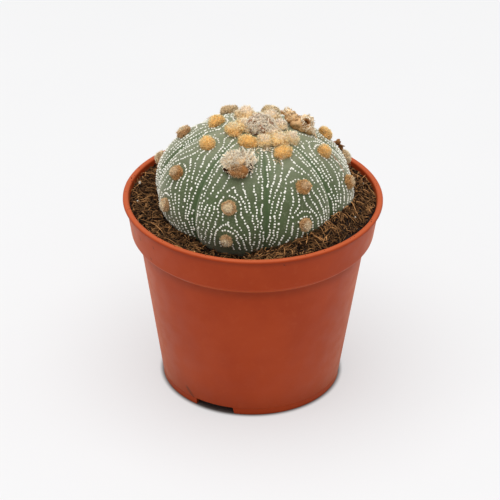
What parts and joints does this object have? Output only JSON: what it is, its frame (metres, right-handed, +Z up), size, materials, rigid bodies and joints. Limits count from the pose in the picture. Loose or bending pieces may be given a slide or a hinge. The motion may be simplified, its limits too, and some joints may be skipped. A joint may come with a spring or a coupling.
{
  "type": "potted cactus",
  "caption": "Low round cactus with broad ribs, rows of white flecks, woolly tufts and dried flowers, standing in coir soil in a tapered plastic nursery pot.",
  "frame": {"origin": "middle of the pot's foot, on the surface that it stands on", "axes": "+Z up along the pot's axis; -Y faces the viewer of the picture; +X is to the viewer's right"},
  "size_m": [0.105, 0.105, 0.1235],
  "materials": {
    "pot_plastic": "injection-moulded terracotta-coloured plastic, satin, with dirt specks",
    "coir_soil": "loose coir and peat fibres, dry and matt",
    "cactus_skin": "matt waxy grey-green skin with white hair flecks and woolly areoles",
    "crown_wool": "cream to ochre plant wool, felted",
    "withered_petals": "dried brown petals with pale curled hair"
  },
  "bodies": {
    "root": {"pot": "pot_plastic", "soil": "coir_soil", "cactus": "cactus_skin", "crown_wool": "crown_wool", "withered_flower_front": "withered_petals", "withered_flower_crown": "withered_petals", "withered_flower_right": "withered_petals"}
  },
  "joints": []
}
